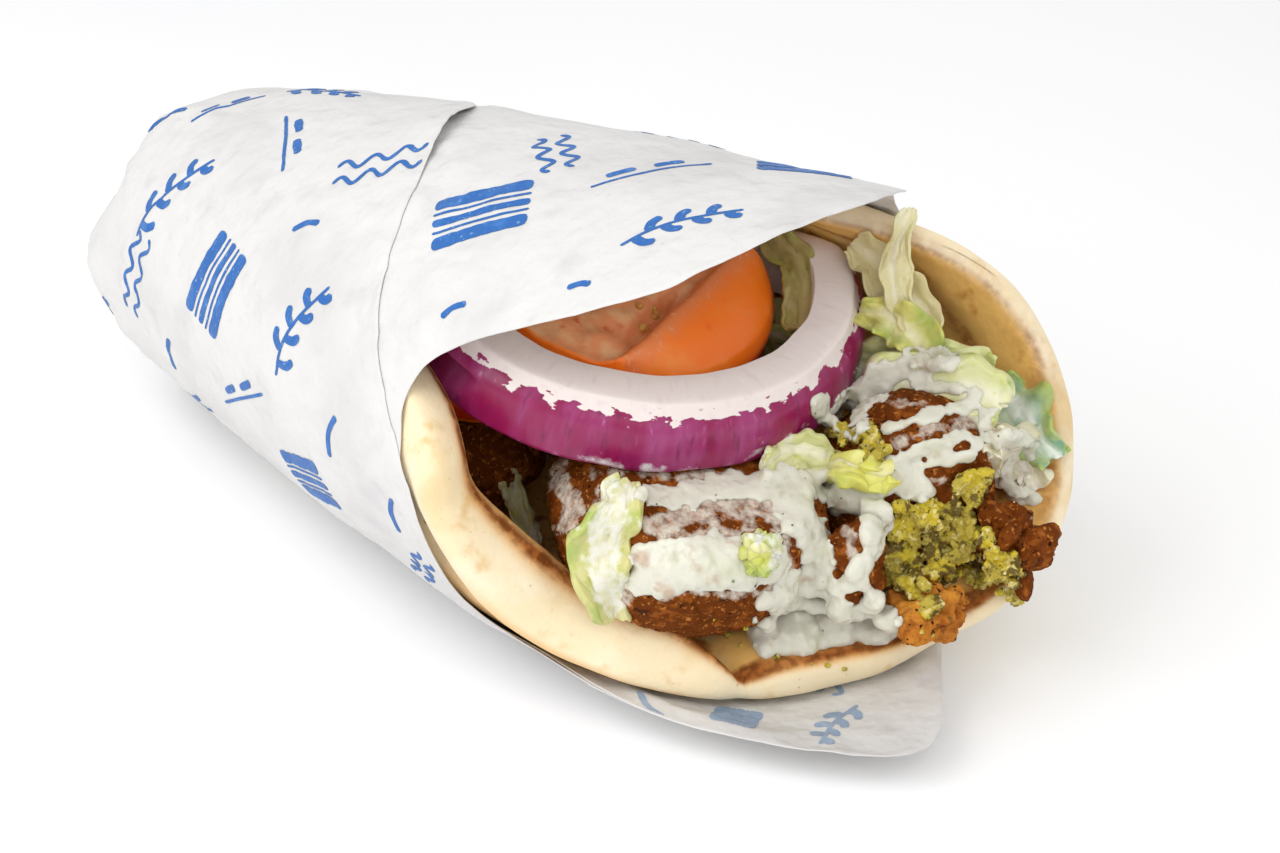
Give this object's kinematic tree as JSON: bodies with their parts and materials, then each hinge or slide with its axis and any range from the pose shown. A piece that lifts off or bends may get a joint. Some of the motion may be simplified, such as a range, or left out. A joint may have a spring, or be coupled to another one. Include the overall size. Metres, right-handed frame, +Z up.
{
  "type": "falafel pita",
  "caption": "Pita bread folded round falafel, lettuce, tomato and a red onion ring, lying in a tapered paper wrap with an open slanted mouth.",
  "frame": {"origin": "on the table, below the middle of the bounding box", "axes": "+X towards the open mouth, along the wrap; +Z up; +Y to the far side, left when looking out of the mouth"},
  "size_m": [0.189, 0.0962, 0.0867],
  "materials": {
    "paper": "matte",
    "bread": "matte",
    "falafel": "rough",
    "lettuce": "satin",
    "red_onion": "satin",
    "tomato": "glossy",
    "sauce": "glossy"
  },
  "bodies": {
    "root": {"paper_wrap": "paper", "pita": "bread", "lettuce_bed": "lettuce", "lettuce_inner": "lettuce", "lettuce_front": "lettuce", "lettuce_centre": "lettuce", "lettuce_right": "lettuce", "lettuce_back": "lettuce", "onion_ring": "red_onion", "tomato_upper": "tomato", "tomato_lower": "tomato", "falafel_front": "falafel", "falafel_rear": "falafel", "falafel_broken": "falafel", "falafel_middle": "falafel", "falafel_crust_right": "falafel", "falafel_chip": "falafel"}
  },
  "joints": []
}
